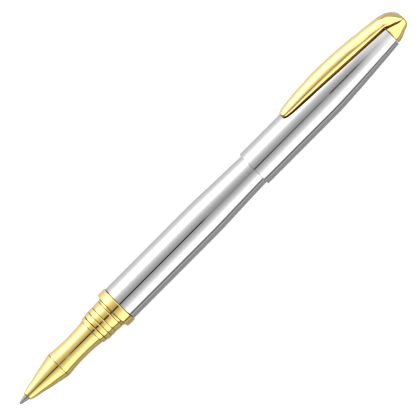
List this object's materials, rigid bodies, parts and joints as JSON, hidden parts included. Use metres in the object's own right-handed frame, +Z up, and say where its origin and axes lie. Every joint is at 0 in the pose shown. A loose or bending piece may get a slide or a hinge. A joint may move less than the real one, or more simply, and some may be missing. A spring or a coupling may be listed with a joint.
{
  "type": "rollerball pen",
  "caption": "Slim metal rollerball pen with a waisted screw-on grip, a replaceable refill, and a slide-on cap with a sprung clip, posted on its tail.",
  "frame": {"origin": "on the surface the pen lies on, under its axis, half way along the posted pen", "axes": "+X along the pen from the writing tip to the crown, +Z up; the clip points 57 degrees from +Z towards +Y"},
  "size_m": [0.1526, 0.0137, 0.0122],
  "materials": {
    "gold_plate": "polished gold plate",
    "chrome_plate": "mirror polished",
    "brass": "machined",
    "tip_metal": "fine turned",
    "spring_steel": "drawn wire",
    "fastener_steel": "plain",
    "black_plastic": "moulded",
    "refill_plastic": "extruded",
    "liner_plastic": "moulded",
    "ink_fibre": "bonded fibre soaked with ink",
    "rubber": "moulded"
  },
  "bodies": {
    "barrel": {"barrel_tube": "chrome_plate", "thread_bush": "brass", "barrel_end_plug": "chrome_plate", "refill_spring": "spring_steel"},
    "refill": {"refill_tip": "tip_metal", "refill_nose": "black_plastic", "ink_feed": "ink_fibre", "refill_tube": "refill_plastic", "ink_reservoir": "ink_fibre", "refill_plug": "black_plastic"},
    "ball": {"writing_ball": "tip_metal"},
    "section": {"nose_cone": "gold_plate", "grip_section": "gold_plate", "collar_ring": "gold_plate", "thread_o_ring": "rubber"},
    "cap": {"cap_tube": "chrome_plate", "inner_cap": "liner_plastic", "crown": "gold_plate", "crown_screw": "fastener_steel", "lock_washer": "fastener_steel"},
    "clip_arm": {"clip": "gold_plate"}
  },
  "joints": [
    {"name": "cap_slide", "type": "slide", "parent": "barrel", "child": "cap", "axis": [1, 0, 0], "range_m": [0, 0.03]},
    {"name": "clip_flex", "type": "hinge", "parent": "cap", "child": "clip_arm", "pos_m": [0.076, 0.00185, 0.0073], "axis": [0, 0.5446, -0.8387], "range_deg": [0, 2.5], "stiffness_Nm_per_rad": 4},
    {"name": "section_draw", "type": "slide", "parent": "barrel", "child": "refill", "axis": [-1, 0, 0], "range_m": [0, 0.0061]},
    {"name": "section_twist", "type": "hinge", "parent": "refill", "child": "section", "pos_m": [-0.0343, 0, 0.0061], "axis": [-1, 0, 0], "range_deg": [0, 2160]},
    {"name": "ball_roll", "type": "hinge", "parent": "refill", "child": "ball", "pos_m": [-0.07595, 0, 0.0061], "axis": [0, 1, 0], "continuous": true}
  ],
  "couplings": [
    {"joint": "section_draw", "follows": "section_twist", "m_per_rad": 0.00015915}
  ]
}
